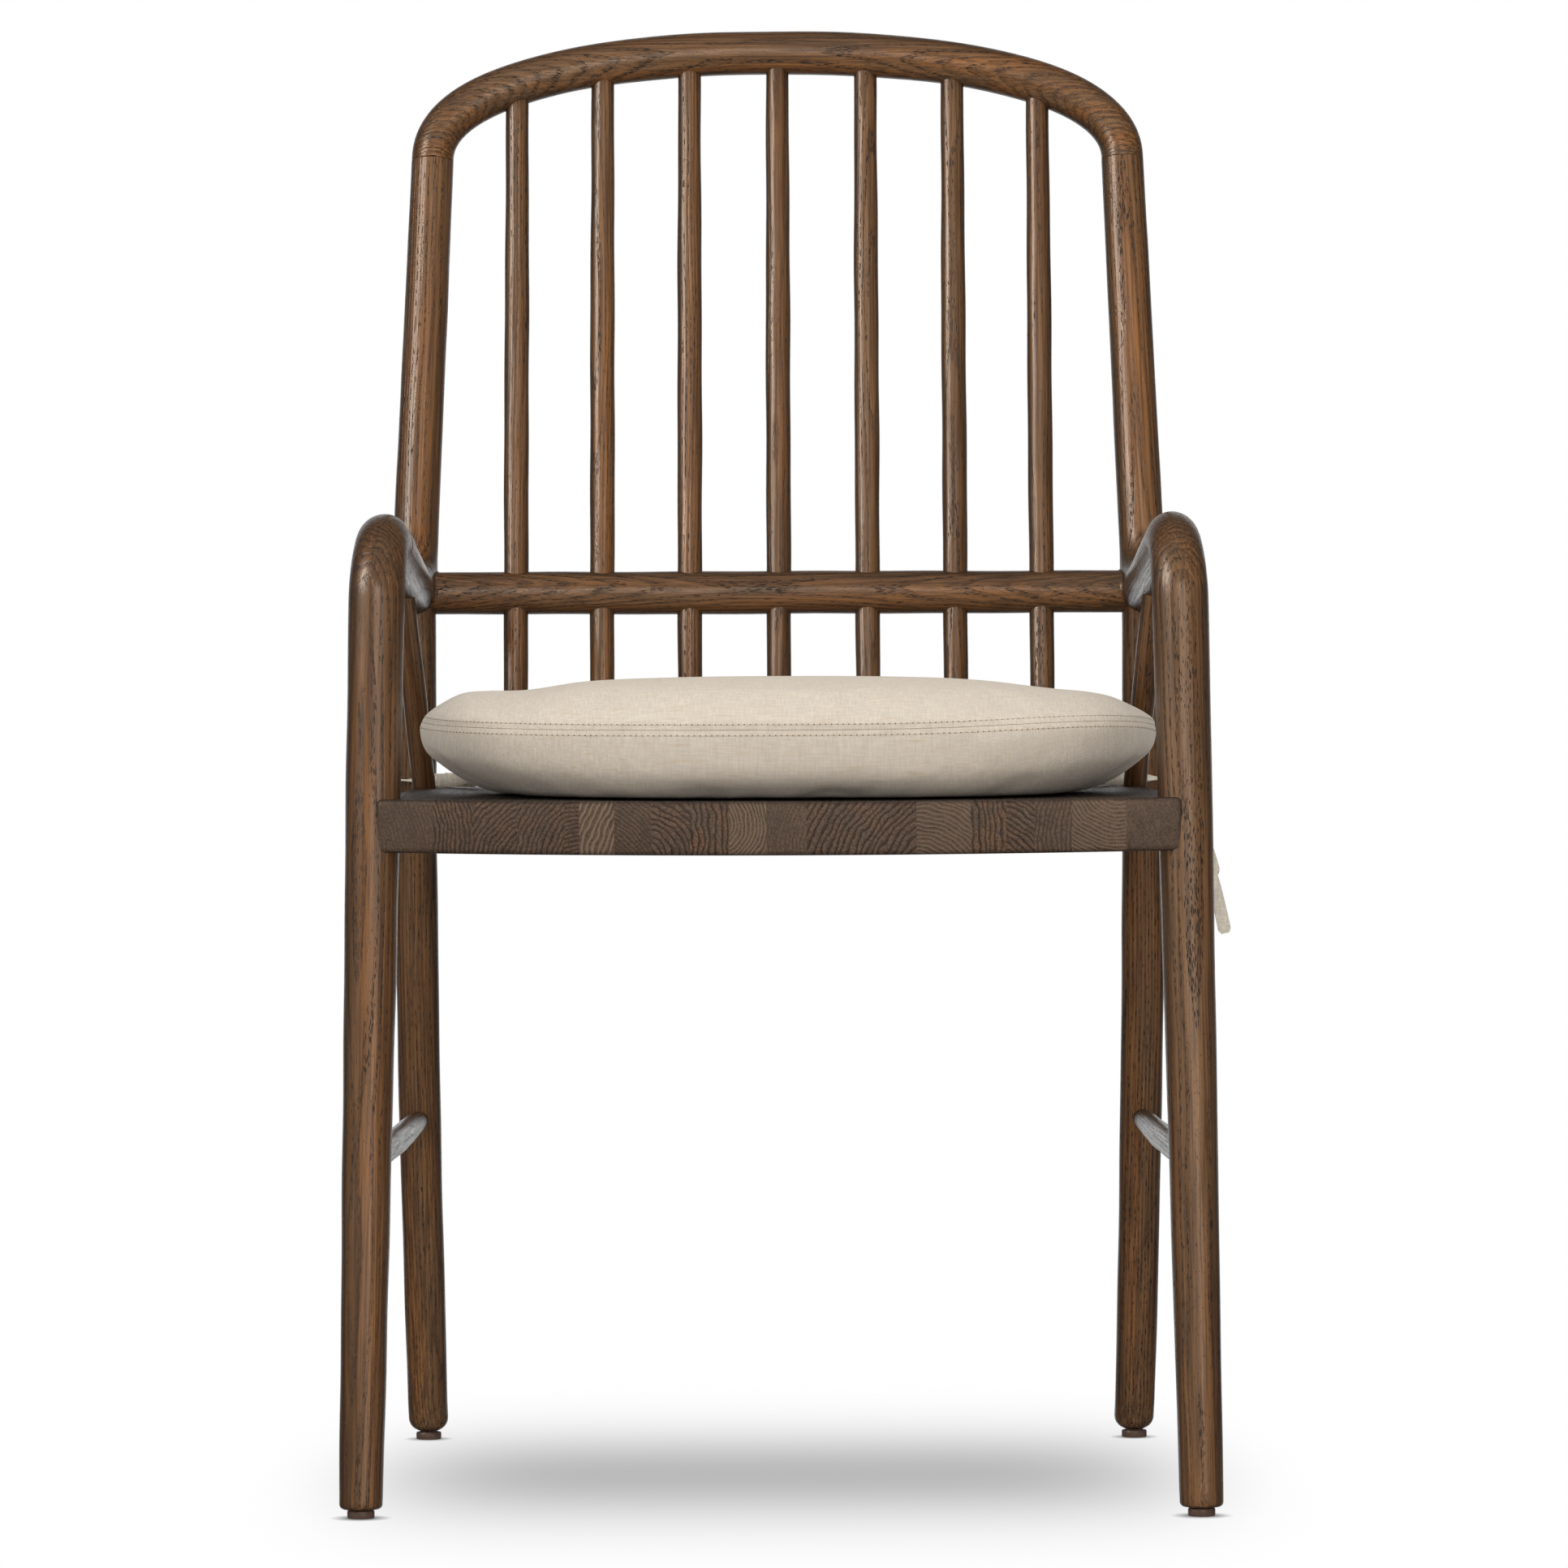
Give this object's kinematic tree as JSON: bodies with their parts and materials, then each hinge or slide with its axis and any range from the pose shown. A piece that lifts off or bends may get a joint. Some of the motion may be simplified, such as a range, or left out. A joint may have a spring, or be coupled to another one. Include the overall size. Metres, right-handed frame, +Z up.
{
  "type": "armchair",
  "caption": "Stained wood spindle-back armchair with a round-topped back, bent arms, a solid seat and a tied linen seat cushion.",
  "frame": {"origin": "on the floor, at the middle of the chair's width and depth without the loose tapes", "axes": "+Z up, the chair faces -Y, +X on the right of someone who looks at its front"},
  "size_m": [0.5827, 0.5405, 0.9514],
  "materials": {
    "stained_wood": "satin dark brown stain over open grain",
    "seat_wood": "satin dark brown stain, edge-glued staves",
    "dowel_wood": "bare beech",
    "glide": "dark brown moulded",
    "nail": "bright",
    "linen": "natural linen weave",
    "tape": "natural linen tape"
  },
  "bodies": {
    "root": {"crest_bow": "stained_wood", "back_rail": "stained_wood", "front_leg_left": "stained_wood", "front_leg_right": "stained_wood", "rear_leg_left": "stained_wood", "rear_leg_right": "stained_wood", "arm_left": "stained_wood", "arm_right": "stained_wood", "back_post_left": "stained_wood", "back_post_right": "stained_wood", "arm_spindle_left": "stained_wood", "arm_spindle_right": "stained_wood", "side_stretcher_left": "stained_wood", "side_stretcher_right": "stained_wood", "spindle_1": "stained_wood", "spindle_2": "stained_wood", "spindle_3": "stained_wood", "spindle_4": "stained_wood", "spindle_5": "stained_wood", "spindle_6": "stained_wood", "spindle_7": "stained_wood", "seat_panel": "seat_wood", "bow_dowel_left": "dowel_wood", "bow_dowel_right": "dowel_wood", "arm_dowel_left": "dowel_wood", "arm_dowel_right": "dowel_wood", "knuckle_dowel_left": "dowel_wood", "knuckle_dowel_right": "dowel_wood", "rail_dowel_left": "dowel_wood", "rail_dowel_right": "dowel_wood", "front_seat_dowel_left": "dowel_wood", "front_seat_dowel_right": "dowel_wood", "rear_seat_dowel_left": "dowel_wood", "rear_seat_dowel_right": "dowel_wood", "front_glide_left": "glide", "front_glide_right": "glide", "rear_glide_left": "glide", "rear_glide_right": "glide", "front_nail_left": "nail", "front_nail_right": "nail", "rear_nail_left": "nail", "rear_nail_right": "nail", "seat_cushion": "linen", "tie_front_left": "tape", "tie_front_right": "tape", "tie_back_left": "tape", "tie_back_right": "tape", "tie_knot_left": "tape", "tie_knot_right": "tape"}
  },
  "joints": []
}
